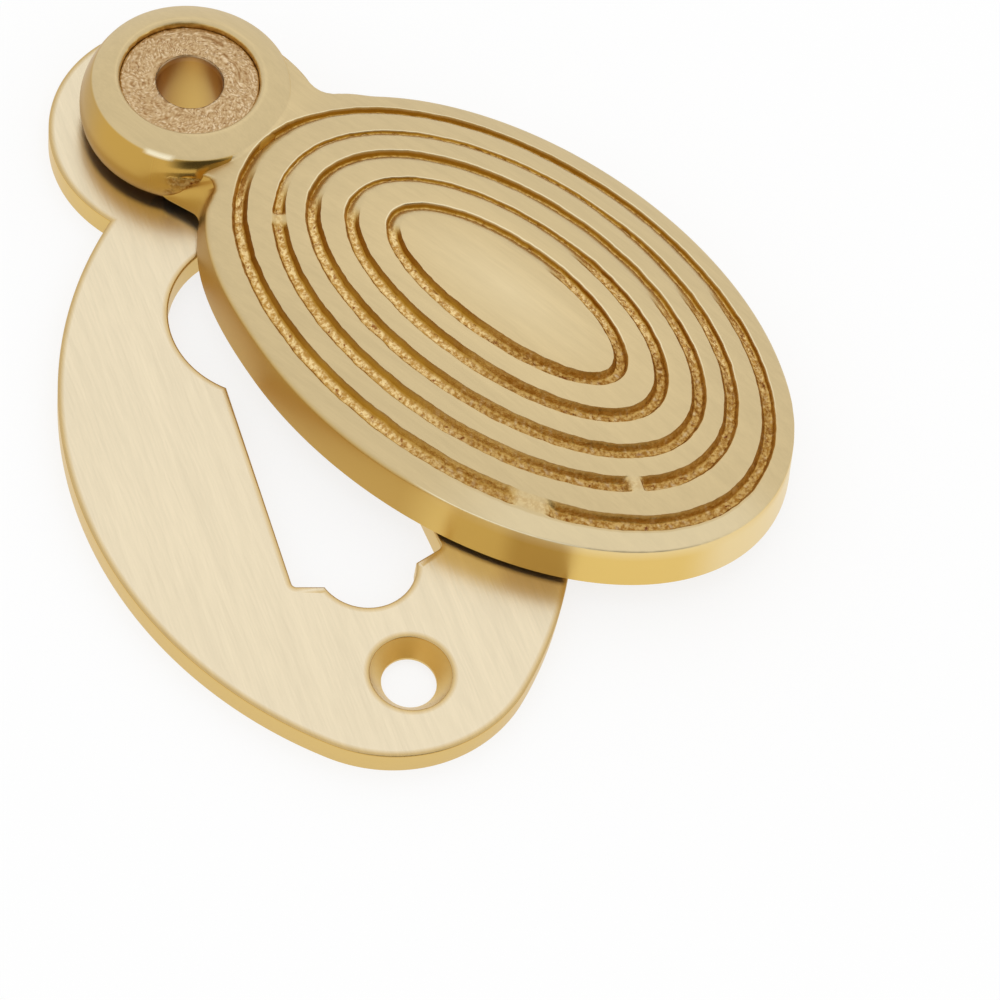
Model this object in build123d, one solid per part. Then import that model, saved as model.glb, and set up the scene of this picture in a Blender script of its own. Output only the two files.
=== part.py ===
from build123d import *
import math
import os

# A covered keyhole escutcheon, lying on its back with the cover swung open. Millimetres.
# The origin is on the pivot's axis at the plate's back face, +Y runs up the plate towards
# its tab, and +Z points out of the face.

# Back plate: an oval drawn with four arcs, and a round tab about the pivot
PLATE_THICKNESS = 1.9
OVAL_DROP = 27.5
OVAL_WIDTH = 32.8
OVAL_LENGTH = 48.6
OVAL_END_RADIUS = 10.0
TAB_RADIUS = 9.8
TAB_DROP = 0.6
PLATE_EDGE_ROUND = 0.15

# Keyhole: a round, a leg that widens to its foot, and a scallop under the foot
KEY_ROUND_RADIUS = 6.55
KEY_ROUND_DROP = 17.1
KEY_LEG_TOP_WIDTH = 8.3
KEY_FOOT_WIDTH = 10.3
KEY_FOOT_DROP = 37.8
KEY_FOOT_SLOPE = 0.6
KEY_FOOT_ROUND = 0.4
KEY_SCALLOP_RADIUS = 3.3
KEY_SCALLOP_DROP = 37.5
KEY_EDGE_ROUND = 0.12

# Lower screw hole: countersunk from the front, with a short land and a small relief at the back
SCREW_DROP = 46.0
SCREW_HOLE_RADIUS = 1.8
COUNTERSINK_RADIUS = 2.7
SCREW_HOLE_LAND = 0.2
BACK_RELIEF = 0.4

# Pivot: a hollow rivet, peened into the plate's back and spun over in the boss
RIVET_BORE_RADIUS = 2.28
RIVET_SHANK_RADIUS = 3.2
RIVET_COLLAR_RADIUS = 5.0
RIVET_HEAD_RADIUS = 4.7
RIVET_HEAD_THICKNESS = 1.05
RIVET_HEAD_ROUND = 0.35
RIVET_PEEN = 0.9
RUNNING_CLEARANCE = 0.05
END_CLEARANCE = 0.05
HEAD_CLEARANCE = 0.15

# Cover: a domed oval on a round boss, hollow at the back
COVER_OPEN_ANGLE = 30.5
COVER_GAP = 0.8
COVER_TOP_DROP = 5.07
COVER_WIDTH = 30.06
COVER_LENGTH = 45.46
COVER_RIM_HEIGHT = 3.15
COVER_DOME_RISE = 3.09
COVER_DRAFT = 0.3
COVER_RIM_ROUND = 0.4
COVER_WALL = 2.2
BOSS_RADIUS = 7.55
BOSS_HEIGHT = 4.6
BOSS_TOP_SLOPE = 27.0
BOSS_ROUND = 1.2
RECESS_DEPTH = 1.5
NECK_ROUND = 3.2
NECK_BITE = 0.4

# Grooves in the cover, from the innermost out, each to the middle of its width, as shares of
# the cover's width and length
GROOVE_WIDTH_SHARES = (0.2415, 0.3919, 0.5423, 0.6926, 0.8430)
GROOVE_LENGTH_SHARES = (0.4092, 0.5455, 0.6709, 0.7743, 0.8997)
GROOVE_CUT = 1.05
GROOVE_DEPTH = 0.45

# Sizes that follow from the ones above
COVER_DROP = COVER_LENGTH / 2 + COVER_TOP_DROP
COVER_BOTTOM = PLATE_THICKNESS + COVER_GAP
RIM_TOP = COVER_BOTTOM + COVER_RIM_HEIGHT
DOME_TOP = RIM_TOP + COVER_DOME_RISE
BOSS_TOP = COVER_BOTTOM + BOSS_HEIGHT
RECESS_FLOOR = BOSS_TOP - RECESS_DEPTH
RECESS_RADIUS = RIVET_HEAD_RADIUS + HEAD_CLEARANCE
COVER_BORE_RADIUS = RIVET_SHANK_RADIUS + RUNNING_CLEARANCE
PEEN_RADIUS = RIVET_SHANK_RADIUS + RIVET_PEEN

# How far a cutting shape runs past what it cuts, and the turn that keeps the domes' seams
# away from those of the grooves
PAST = 1.0
SEAM_TURN = 130.0


def turned(*points):
    """A solid of revolution about the pivot's axis from (radius, height) points."""
    face = make_face(Polyline(*points, close=True))
    return revolve(Plane.XZ * face, Axis.Z)


def plate_outline():
    """The oval from four tangent arcs, joined with the round tab."""
    half_width = OVAL_WIDTH / 2
    end_centre = OVAL_LENGTH / 2 - OVAL_END_RADIUS
    side_radius = (half_width**2 + end_centre**2 - OVAL_END_RADIUS**2) / (OVAL_WIDTH - 2 * OVAL_END_RADIUS)
    side_centre = side_radius - half_width
    lens = Pos(-side_centre, 0) * Circle(side_radius) & Pos(side_centre, 0) * Circle(side_radius)
    reach = side_radius / (side_radius - OVAL_END_RADIUS)
    join_y = end_centre * reach
    middle = lens & Rectangle(OVAL_WIDTH + PAST, 2 * join_y)
    ends = Pos(0, end_centre) * Circle(OVAL_END_RADIUS) + Pos(0, -end_centre) * Circle(OVAL_END_RADIUS)
    oval = Pos(0, -OVAL_DROP) * (middle + ends)
    return oval + Pos(0, -TAB_DROP) * Circle(TAB_RADIUS)


def keyhole_outline():
    """The round, the leg with its sloped feet, and the scallop."""
    half_top = KEY_LEG_TOP_WIDTH / 2
    half_foot = KEY_FOOT_WIDTH / 2
    foot_y = -KEY_FOOT_DROP
    inner_y = foot_y - KEY_FOOT_SLOPE
    scallop_fall = KEY_SCALLOP_DROP + inner_y
    inner_x = math.sqrt(KEY_SCALLOP_RADIUS**2 - scallop_fall**2)
    leg = make_face(Polyline(
        (-half_top, -KEY_ROUND_DROP),
        (half_top, -KEY_ROUND_DROP),
        (half_foot, foot_y),
        (inner_x, inner_y),
        (-inner_x, inner_y),
        (-half_foot, foot_y),
        close=True,
    ))
    feet = [v for v in leg.vertices() if abs(v.Y - foot_y) < KEY_FOOT_SLOPE / 2]
    leg = fillet(feet, KEY_FOOT_ROUND)
    bow = Pos(0, -KEY_ROUND_DROP) * Circle(KEY_ROUND_RADIUS)
    scallop = Pos(0, -KEY_SCALLOP_DROP) * Circle(KEY_SCALLOP_RADIUS)
    return bow + leg + scallop


def top_edges(solid):
    """The edges around a slab's upper face."""
    return solid.faces().sort_by(Axis.Z)[-1].edges()


def back_plate():
    """The plate with its keyhole, lower screw hole and pivot hole."""
    slab = extrude(plate_outline(), PLATE_THICKNESS)
    slab = fillet(top_edges(slab), PLATE_EDGE_ROUND)
    keyhole = keyhole_outline()
    slab -= Pos(0, 0, -PAST) * extrude(keyhole, PLATE_THICKNESS + 2 * PAST)
    slab = fillet(slab.faces().sort_by(Axis.Z)[-1].inner_wires()[0].edges(), KEY_EDGE_ROUND)
    countersink_bottom = BACK_RELIEF + SCREW_HOLE_LAND
    screw_hole = turned(
        (0, 0),
        (SCREW_HOLE_RADIUS + BACK_RELIEF, 0),
        (SCREW_HOLE_RADIUS, BACK_RELIEF),
        (SCREW_HOLE_RADIUS, countersink_bottom),
        (COUNTERSINK_RADIUS, PLATE_THICKNESS),
        (0, PLATE_THICKNESS),
    )
    pivot_hole = turned(
        (0, 0),
        (PEEN_RADIUS, 0),
        (RIVET_SHANK_RADIUS, RIVET_PEEN),
        (RIVET_SHANK_RADIUS, PLATE_THICKNESS),
        (0, PLATE_THICKNESS),
    )
    return slab - Pos(0, -SCREW_DROP) * screw_hole - pivot_hole


def pivot_rivet():
    """The hollow rivet: peened end, shank, collar under the boss and ring head in its recess."""
    collar_top = COVER_BOTTOM - END_CLEARANCE
    head_bottom = RECESS_FLOOR + END_CLEARANCE
    head_top = head_bottom + RIVET_HEAD_THICKNESS
    body = turned(
        (RIVET_BORE_RADIUS, 0),
        (PEEN_RADIUS, 0),
        (RIVET_SHANK_RADIUS, RIVET_PEEN),
        (RIVET_SHANK_RADIUS, PLATE_THICKNESS),
        (RIVET_COLLAR_RADIUS, PLATE_THICKNESS),
        (RIVET_COLLAR_RADIUS, collar_top),
        (RIVET_SHANK_RADIUS, collar_top),
        (RIVET_SHANK_RADIUS, head_bottom),
        (RIVET_HEAD_RADIUS, head_bottom),
        (RIVET_HEAD_RADIUS, head_top),
        (RIVET_BORE_RADIUS, head_top),
    )
    return fillet(top_edges(body), RIVET_HEAD_ROUND)


def domed_block(half_width, half_length, bottom, rim, rise, draft=0.0, rim_round=0.0):
    """A solid oval with a domed top, about its own centre."""
    top_width = half_width - draft
    dome_radius = (top_width**2 + rise**2) / (2 * rise)
    crown = (0, rim + rise)
    lean = math.asin(top_width / dome_radius) / 2
    on_dome = (dome_radius * math.sin(lean), rim + rise - dome_radius * (1 - math.cos(lean)))
    outline = [
        Polyline(crown, (0, bottom), (half_width, bottom), (top_width, rim)),
        ThreePointArc((top_width, rim), on_dome, crown),
    ]
    face = make_face(outline)
    if rim_round:
        corner = face.vertices().sort_by_distance((top_width, rim))[0]
        face = fillet(corner, rim_round)
    circular = Rot(0, 0, SEAM_TURN) * revolve(Plane.XZ * face, Axis.Z)
    return scale(circular, by=(1, half_length / half_width, 1))


def groove_cutter(width_share, length_share, floor_block):
    """The ring of space that one groove takes out of the cover."""
    half_width = COVER_WIDTH * width_share / 2
    half_length = COVER_LENGTH * length_share / 2
    half_cut = GROOVE_CUT / 2
    ring = Ellipse(half_width + half_cut, half_length + half_cut)
    ring -= Ellipse(half_width - half_cut, half_length - half_cut)
    tall = DOME_TOP + PAST - COVER_BOTTOM
    return Pos(0, 0, COVER_BOTTOM) * extrude(ring, tall) - floor_block


def boss_body():
    """The round eye at the cover's top, with a top that slopes out to a rounded shoulder."""
    shoulder = BOSS_TOP - (BOSS_RADIUS - RECESS_RADIUS) * math.tan(math.radians(BOSS_TOP_SLOPE))
    profile = make_face(Polyline(
        (0, COVER_BOTTOM),
        (BOSS_RADIUS, COVER_BOTTOM),
        (BOSS_RADIUS, shoulder),
        (RECESS_RADIUS, BOSS_TOP),
        (0, BOSS_TOP),
        close=True,
    ))
    corner = profile.vertices().sort_by_distance((BOSS_RADIUS, shoulder))[0]
    profile = fillet(corner, BOSS_ROUND)
    return revolve(Plane.XZ * profile, Axis.Z)


def neck_web():
    """The flat-topped web that rounds the two corners between the boss and the oval."""
    inset = COVER_DRAFT + NECK_BITE
    oval = Pos(0, -COVER_DROP) * Ellipse(COVER_WIDTH / 2 - inset, COVER_LENGTH / 2 - inset)
    eye = Circle(BOSS_RADIUS - NECK_BITE)
    web = Pos(0, 0, COVER_BOTTOM) * extrude(oval + eye, COVER_RIM_HEIGHT)
    corners = web.edges().filter_by(Axis.Z).filter_by(lambda e: abs(e.center().X) > PAST)
    return fillet(corners, NECK_ROUND)


def swing_cover():
    """The cover as it hangs closed: dome, boss and neck, then the grooves, hollow and pivot bore."""
    half_width = COVER_WIDTH / 2
    half_length = COVER_LENGTH / 2
    centre = Pos(0, -COVER_DROP)
    dome = domed_block(half_width, half_length, COVER_BOTTOM, RIM_TOP, COVER_DOME_RISE, COVER_DRAFT, COVER_RIM_ROUND)
    cover = centre * dome + boss_body() + neck_web()
    floor_block = domed_block(
        half_width, half_length, COVER_BOTTOM, RIM_TOP - GROOVE_DEPTH, COVER_DOME_RISE, COVER_DRAFT
    )
    for width_share, length_share in zip(GROOVE_WIDTH_SHARES, GROOVE_LENGTH_SHARES):
        cover -= centre * groove_cutter(width_share, length_share, floor_block)
    hollow = domed_block(
        half_width - COVER_WALL, half_length - COVER_WALL, COVER_BOTTOM, RIM_TOP - COVER_WALL, COVER_DOME_RISE
    )
    eye = turned(
        (0, COVER_BOTTOM),
        (COVER_BORE_RADIUS, COVER_BOTTOM),
        (COVER_BORE_RADIUS, RECESS_FLOOR),
        (RECESS_RADIUS, RECESS_FLOOR),
        (RECESS_RADIUS, BOSS_TOP),
        (0, BOSS_TOP),
    )
    return cover - centre * hollow - eye


PARTS = {
    "back_plate": back_plate(),
    "pivot_rivet": pivot_rivet(),
    "swing_cover": Rot(0, 0, COVER_OPEN_ANGLE) * swing_cover(),
}

os.makedirs("parts", exist_ok=True)
for name, solid in PARTS.items():
    export_step(solid, f"parts/{name}.step")
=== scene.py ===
"""A covered keyhole escutcheon in satin brass: plate, hollow rivet and ribbed swing cover."""
import math

import bmesh
import bpy
from mathutils import Matrix, Vector, noise


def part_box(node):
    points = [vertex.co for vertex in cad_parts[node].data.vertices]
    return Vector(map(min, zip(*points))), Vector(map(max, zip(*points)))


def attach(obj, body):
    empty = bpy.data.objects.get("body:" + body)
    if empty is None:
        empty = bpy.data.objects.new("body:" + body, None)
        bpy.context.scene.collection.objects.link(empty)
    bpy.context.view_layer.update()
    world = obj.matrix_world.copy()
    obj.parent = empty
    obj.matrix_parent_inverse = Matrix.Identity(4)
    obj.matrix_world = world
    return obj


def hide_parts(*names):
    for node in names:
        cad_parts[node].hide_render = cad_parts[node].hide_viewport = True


bl_info = {
    "name": "Covered keyhole escutcheon",
    "version": (1, 0, 0),
    "blender": (4, 5, 0),
    "location": "View3D > Sidebar > Escutcheon",
    "description": "A satin brass keyhole plate with a ribbed cover that swings on a hollow rivet",
    "category": "Object",
}

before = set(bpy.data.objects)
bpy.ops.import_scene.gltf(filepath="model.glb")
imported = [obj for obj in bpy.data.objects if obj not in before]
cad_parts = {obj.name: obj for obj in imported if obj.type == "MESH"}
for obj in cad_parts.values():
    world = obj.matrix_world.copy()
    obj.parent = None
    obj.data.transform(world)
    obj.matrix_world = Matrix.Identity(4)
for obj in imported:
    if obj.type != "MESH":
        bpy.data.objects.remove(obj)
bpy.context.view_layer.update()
PLATE_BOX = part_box("back_plate")
RIVET_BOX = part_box("pivot_rivet")
COVER_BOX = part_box("swing_cover")

MM = 0.001
UP = Vector((0, 0, 1))
MERGE_DISTANCE = 1e-7
SMOOTH_ANGLE = math.radians(34)


def srgb(red, green, blue):
    """A linear colour from the 0 to 255 values that a screen shows."""
    def linear(value):
        share = value / 255
        return share / 12.92 if share <= 0.04045 else ((share + 0.055) / 1.055) ** 2.4
    return linear(red), linear(green), linear(blue)


# Settings

def length(name, millimetres, description):
    """A size, given in millimetres."""
    size = millimetres * MM
    return bpy.props.FloatProperty(
        name=name, description=description, default=size, min=0.0, unit="LENGTH", subtype="DISTANCE"
    )


def turn(name, degrees, description):
    """An angle, given in degrees."""
    return bpy.props.FloatProperty(
        name=name, description=description, default=math.radians(degrees), unit="ROTATION", subtype="ANGLE"
    )


def share(name, value, description):
    """A share from none to one."""
    return bpy.props.FloatProperty(
        name=name, description=description, default=value, min=0.0, max=1.0, subtype="FACTOR"
    )


def colour(name, screen, description):
    """A colour, given as a screen shows it."""
    return bpy.props.FloatVectorProperty(
        name=name, description=description, default=srgb(*screen), size=3, min=0.0, max=1.0, subtype="COLOR"
    )


class PlateSettings(bpy.types.PropertyGroup):
    """Sizes and finish of the back plate."""
    thickness: length("Thickness", PLATE_BOX[1].z / MM, "From the back face to the front face")
    oval_drop: length("Oval drop", 27.5, "From the pivot to the oval's centre")
    oval_width: length("Oval width", 32.8, "Across the oval")
    oval_length: length("Oval length", 48.6, "Along the oval")
    end_radius: length("End radius", 10.0, "Radius of the oval's ends")
    tab_radius: length("Tab radius", 9.8, "Radius of the round tab")
    tab_drop: length("Tab drop", 0.6, "From the pivot to the tab's centre")
    edge_round: length("Edge round", 0.14, "Softening of the front edges")
    edge_fade: length("Edge fade", 0.3, "Width of the tan band along the edges")
    key_round_radius: length("Key round radius", 6.55, "Radius of the keyhole's round")
    key_round_drop: length("Key round drop", 17.1, "From the pivot to the round's centre")
    key_leg_width: length("Key leg width", 8.3, "Width of the keyhole's leg at the round's centre")
    key_foot_width: length("Key foot width", 10.3, "Width of the keyhole's leg at its foot")
    key_foot_drop: length("Key foot drop", 37.8, "From the pivot to the leg's foot")
    key_foot_slope: length("Key foot slope", 0.6, "Fall of the foot towards the scallop")
    key_scallop_radius: length("Key scallop radius", 3.3, "Radius of the scallop under the foot")
    key_scallop_drop: length("Key scallop drop", 37.5, "From the pivot to the scallop's centre")
    screw_drop: length("Screw drop", 46.0, "From the pivot to the lower screw hole")
    screw_radius: length("Screw hole radius", 1.8, "Radius of the lower screw hole")
    screw_land_top: length("Screw land top", 0.6, "Height of the bottom of the countersink")
    screw_land_bottom: length("Screw land bottom", 0.4, "Height of the relief at the back")
    countersink_radius: length("Countersink radius", 2.7, "Radius of the countersink at the front")
    face_colour: colour("Face colour", (219, 205, 176), "Satin front face")
    wall_colour: colour("Wall colour", (222, 190, 118), "Polished edges")
    edge_tint: colour("Edge tint", (232, 214, 174), "Tan that the face takes on at its edges")


class RivetSettings(bpy.types.PropertyGroup):
    """Sizes and finish of the hollow rivet."""
    bore_radius: length("Bore radius", 2.28, "Radius of the bore through the rivet")
    shank_radius: length("Shank radius", 3.2, "Radius of the shank")
    collar_radius: length("Collar radius", RIVET_BOX[1].x / MM, "Radius of the collar under the boss")
    head_radius: length("Head radius", 4.83, "Radius of the spun head")
    head_thickness: length("Head thickness", 1.05, "Thickness of the spun head")
    head_round: length("Head round", 0.15, "Rounding of the head's outer edge")
    head_sink: length("Head sink", 0.3, "How far the spinning pressed the head in")
    lip_round: length("Lip round", 0.24, "Rounding of the bore's edge")
    peen: length("Peen", 0.9, "How far the tail is spread in the plate's back")
    # Painted shade: the bore stays bright along this bearing and is darkened away from it
    bore_highlight_bearing: turn("Bore facing", 57.0, "Bearing of the bright part of the bore")
    head_dark: colour("Head dark", (182, 150, 106), "Darker tone of the rough spun head")
    head_pale: colour("Head pale", (204, 176, 134), "Paler tone of the rough spun head")
    bore_colour: colour("Bore colour", (222, 184, 105), "Bore and shank")
    # Painted shade: the tool marks' furrows and the bore's sides take this tint
    painted_shade_tint: colour("Shade tint", (184, 150, 104), "Tint of the tool marks and of the bore's sides")
    scorch_colour: colour("Scorch colour", (156, 122, 84), "Dark specks on the head")
    # Painted highlight: the pale ring on the bore's lip and the light streaks on the head
    painted_highlight_colour: colour("Worn colour", (236, 216, 182), "Bright edge of the bore")


class CoverSettings(bpy.types.PropertyGroup):
    """Sizes and finish of the swing cover."""
    open_angle: turn("Open angle", 30.5, "How far the cover is swung open at rest")
    bottom: length("Bottom", COVER_BOX[0].z / MM, "Height of the boss's underside")
    rim_drop: length("Rim drop", 0.45, "How far the rim hangs lower than the boss")
    top: length("Top", COVER_BOX[1].z / MM, "Height of the dome's crown")
    drop: length("Drop", 27.8, "From the pivot to the cover's centre")
    width: length("Width", 30.06, "Across the cover")
    length: length("Length", 45.46, "Along the cover's oval")
    dome_rise: length("Dome rise", 3.09, "Rise of the dome above its rim")
    draft: length("Draft", 0.3, "How far the side wall leans in")
    rim_round: length("Rim round", 0.35, "Rounding of the rim")
    wall: length("Wall", 2.2, "Thickness of the casting")
    boss_radius: length("Boss radius", 7.55, "Radius of the boss")
    boss_height: length("Boss height", 4.6, "Height of the boss")
    boss_foot: length("Boss foot", 7.3, "Radius of the boss at its foot")
    shoulder_radius: length("Shoulder radius", 6.87, "Radius of the edge between the boss's top and flank")
    fullness_left: length("Left fullness", 0.45, "How far the oval is fuller beside the left neck")
    fullness_right: length("Right fullness", 0.45, "How far the oval is fuller beside the right neck")
    boss_slope: turn("Boss slope", 27.0, "Slope of the boss's top")
    recess_radius: length("Recess radius", 4.85, "Radius of the recess for the rivet's head")
    recess_depth: length("Recess depth", 1.5, "Depth of that recess")
    recess_round: length("Recess round", 0.35, "Rounding of the recess's edge")
    bore_radius: length("Bore radius", 3.25, "Radius of the pivot bore")
    neck_left: length("Left neck", 2.4, "Reach of the rounding between boss and oval on the left")
    neck_right: length("Right neck", 1.2, "Reach of the rounding between web and oval on the right")
    boss_lean: length("Boss lean", 0.2, "How far the boss's top lies to the right of its foot")
    web_drop: length("Web drop", 1.3, "From the pivot to the start of the straight web beside the boss")
    web_step: length("Web step", 0.4, "How much further in the web's foot starts on the left")
    web_lean: turn("Web lean", 10.0, "How far that web leans in towards the oval")
    skirt: turn("Skirt", 17.0, "How steeply the boss runs out into the oval")
    first_groove: length("First groove", 7.26, "Width of the innermost groove's oval")
    groove_step: length("Groove step", 4.52, "How much wider each next groove is")
    groove_cut: length("Groove cut", 1.05, "Width of a groove")
    groove_depth: length("Groove depth", 0.45, "Depth of a groove")
    land_colour: colour("Land colour", (207, 186, 142), "Satin lands")
    wall_colour: colour("Wall colour", (230, 196, 112), "Polished walls")
    groove_dark: colour("Groove dark", (190, 144, 72), "Darker tone of the rough cast grooves")
    groove_pale: colour("Groove pale", (243, 216, 156), "Paler tone of the rough cast grooves")
    # This tint darkens the groove walls, part tarnish and part painted shade, and the side wall and the rim's
    # rounding as painted shade
    brown_and_painted_shade_tint: colour("Brown tint", (188, 160, 94), "Tint of the browned walls")
    scorch_colour: colour("Scorch colour", (150, 92, 44), "Burnt specks in the grooves")
    # Painted highlight: the pale colour laid on the rim's lower edge, the groove lips, the crown, the boss's
    # shoulder, the glints and pale stretches of the wall, for the light they catch
    painted_highlight_colour: colour("Worn colour", (246, 234, 200), "Bright edges where the brushing caught them")


class StageSettings(bpy.types.PropertyGroup):
    """Floor, light and camera."""
    floor_colour: colour("Floor colour", (250, 250, 250), "Pale floor")
    floor_shade: share("Floor shade", 0.22, "How much of the floor's own shade is seen over plain white")
    floor_gap: length("Floor gap", 0.02, "How far the floor lies under the plate's back")
    sky_strength: share("Sky strength", 1.0, "Level of the light from all around")
    dim_level: share("Dim level", 0.1, "Level of the room's dim side behind the camera")
    dim_reach: turn("Dim reach", 36.0, "How far that dim side reaches from its middle")
    lamp_power: bpy.props.FloatProperty(
        name="Lamp power", description="Power of the large soft lamp", default=0.08, min=0.0, unit="POWER"
    )
    camera_turn: turn("Camera turn", 32.354, "Turn of the view from +Y towards +X")
    camera_rise: turn("Camera rise", 57.13, "How far above the floor the camera looks from")
    camera_roll: turn("Camera roll", 13.47, "Tilt of the picture")
    camera_distance: length("Camera distance", 211.52, "From the camera to the point it looks at")


# Lengths of the grooves' ovals, from the innermost groove out
GROOVE_LENGTHS = (18.6 * MM, 24.8 * MM, 30.5 * MM, 35.2 * MM, 40.9 * MM)


# Shared mesh steps

def polyline(bm, points):
    """An open chain of edges through points."""
    chain = [bm.verts.new(p) for p in points]
    for a, b in zip(chain, chain[1:]):
        bm.edges.new((a, b))
    return chain


def arc_on(bm, vert, centre, angle, steps):
    """Draws an arc by turning a vertex about centre, and returns the arc's last vertex."""
    made = bmesh.ops.spin(
        bm, geom=[vert], cent=centre, axis=UP, dvec=(0, 0, 0), angle=angle, steps=steps, use_duplicate=False
    )
    return [g for g in made["geom_last"] if isinstance(g, bmesh.types.BMVert)][0]


def line_on(bm, vert, point):
    """Draws a straight edge from a vertex to a point, and returns the new vertex."""
    new = bm.verts.new(point)
    bm.edges.new((vert, new))
    return new


def turned(bm, profile, steps):
    """Spins a profile of (radius, height) points a full turn about the pivot's axis."""
    chain = polyline(bm, [(radius, 0, height) for radius, height in profile])
    edges = [e for e in bm.edges if e.verts[0] in chain and e.verts[1] in chain]
    bmesh.ops.spin(
        bm, geom=chain + edges, cent=(0, 0, 0), axis=UP, dvec=(0, 0, 0), angle=math.tau, steps=steps,
        use_merge=True, use_duplicate=False,
    )


def quarter(steps):
    """Sine and cosine of the angles that divide a quarter turn."""
    return [(math.sin(a), math.cos(a)) for a in (math.pi / 2 * i / steps for i in range(steps + 1))]


def clamp(value, high=1.0):
    """A value kept between none and high."""
    return min(max(value, 0.0), high)


def lumps(place, size):
    """Smooth noise from about -1 to 1, with lumps of about a size."""
    return noise.noise(place / size)


def close_mesh(bm):
    """Merges seams and poles and turns all faces outwards."""
    bmesh.ops.remove_doubles(bm, verts=bm.verts, dist=MERGE_DISTANCE)
    bmesh.ops.recalc_face_normals(bm, faces=bm.faces)


def place_object(name, data):
    """A new object in the scene."""
    made = bpy.data.objects.new(name, data)
    bpy.context.scene.collection.objects.link(made)
    return made


def add_piece(bm, name, node, body, material):
    """Makes the finished mesh a piece that stands for a node and moves with its body."""
    mesh = bpy.data.meshes.new(name)
    bm.to_mesh(mesh)
    bm.free()
    mesh.shade_smooth()
    mesh.set_sharp_from_angle(angle=SMOOTH_ANGLE)
    mesh.materials.append(material)
    piece = place_object(name, mesh)
    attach(piece, body)
    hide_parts(node)


# Layers: satin face, rough cast, a darkening tint that is part tarnish and part painted shade, painted
# highlight, and gloss
FINISH_LAYERS = ("satin", "cast", "brown", "worn", "gloss")


def finish_layers(bm):
    """The vertex values that say how a surface is finished and where highlight and shade are painted, each
    from none to one.
    """
    return {name: bm.verts.layers.float.new(name) for name in FINISH_LAYERS}


def set_finish(vert, layers, finish):
    """Gives a vertex its values in the order of the layers, where those left out at the end are none."""
    for layer, value in zip(layers.values(), finish):
        vert[layer] = value


# Back plate

SIDE_STEPS = 110
END_STEPS = 60
TAB_STEPS = 120
KEY_ROUND_STEPS = 80
SCALLOP_STEPS = 26
HOLE_STEPS = 72
HOLE_MARGIN = 1.0 * MM
KEY_FOOT_ROUND = 0.25 * MM
KEY_FOOT_RINGS = 5
EDGE_RINGS = 4
SETTLING_ROUNDS = 4


def meeting_point(centre_a, radius_a, centre_b, radius_b):
    """Where two circles in plan meet, on the +X side."""
    gap = centre_b - centre_a
    along = (gap.length_squared + radius_a**2 - radius_b**2) / (2 * gap.length)
    aside = math.sqrt(radius_a**2 - along**2)
    step = gap.normalized()
    across = Vector((-step.y, step.x, 0))
    points = (centre_a + step * along + across * aside, centre_a + step * along - across * aside)
    return max(points, key=lambda p: p.x)


def bearing(point, centre):
    """The direction in plan from a centre to a point."""
    return math.atan2(point.y - centre.y, point.x - centre.x)


def draw_plate_outline(bm, s, z):
    """The oval's two sides and lower end, and the tab, as one loop of arcs."""
    half_width = s.oval_width / 2
    end_gap = s.oval_length / 2 - s.end_radius
    side_radius = (half_width**2 + end_gap**2 - s.end_radius**2) / (s.oval_width - 2 * s.end_radius)
    right_centre = Vector((half_width - side_radius, -s.oval_drop, z))
    left_centre = Vector((side_radius - half_width, -s.oval_drop, z))
    end_centre = Vector((0, -s.oval_drop - end_gap, z))
    tab_centre = Vector((0, -s.tab_drop, z))
    corner = meeting_point(right_centre, side_radius, tab_centre, s.tab_radius)
    join = end_centre + (end_centre - right_centre).normalized() * s.end_radius
    side_angle = bearing(join, right_centre) - bearing(corner, right_centre)
    end_angle = -math.pi - 2 * bearing(join, end_centre)
    tab_angle = 2 * bearing(corner, tab_centre) - math.pi
    vert = bm.verts.new(corner)
    vert = arc_on(bm, vert, right_centre, side_angle, SIDE_STEPS)
    vert = arc_on(bm, vert, end_centre, end_angle, END_STEPS)
    vert = arc_on(bm, vert, left_centre, side_angle, SIDE_STEPS)
    arc_on(bm, vert, tab_centre, tab_angle, TAB_STEPS)


def draw_keyhole(bm, s, z):
    """The round, the widening leg with rounded foot corners, and the scallop, as one loop."""
    round_centre = Vector((0, -s.key_round_drop, z))
    half_top = s.key_leg_width / 2
    half_foot = s.key_foot_width / 2
    foot_y = -s.key_foot_drop
    inner_y = foot_y - s.key_foot_slope
    scallop_centre = Vector((0, -s.key_scallop_drop, z))
    inner_x = math.sqrt(s.key_scallop_radius**2 - (inner_y - scallop_centre.y) ** 2)
    widening = (half_foot - half_top) / (round_centre.y - foot_y)
    fall = math.sqrt(s.key_round_radius**2 - half_top**2)
    for _ in range(SETTLING_ROUNDS):
        fall = math.sqrt(s.key_round_radius**2 - (half_top + widening * fall) ** 2)
    corner = Vector((half_top + widening * fall, round_centre.y - fall, z))
    start = bm.verts.new(corner)
    round_angle = math.pi - 2 * bearing(corner, round_centre)
    vert = arc_on(bm, start, round_centre, round_angle, KEY_ROUND_STEPS)
    left_foot = line_on(bm, vert, (-half_foot, foot_y, z))
    vert = line_on(bm, left_foot, (-inner_x, inner_y, z))
    scallop_start = bearing(vert.co, scallop_centre) % math.tau
    scallop_angle = 2 * (1.5 * math.pi - scallop_start)
    vert = arc_on(bm, vert, scallop_centre, scallop_angle, SCALLOP_STEPS)
    right_foot = line_on(bm, vert, (half_foot, foot_y, z))
    bm.edges.new((right_foot, start))
    bmesh.ops.bevel(
        bm, geom=[left_foot, right_foot], offset=KEY_FOOT_ROUND, offset_type="OFFSET",
        segments=KEY_FOOT_RINGS, profile=0.5, affect="VERTICES", material=-1,
    )


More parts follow.
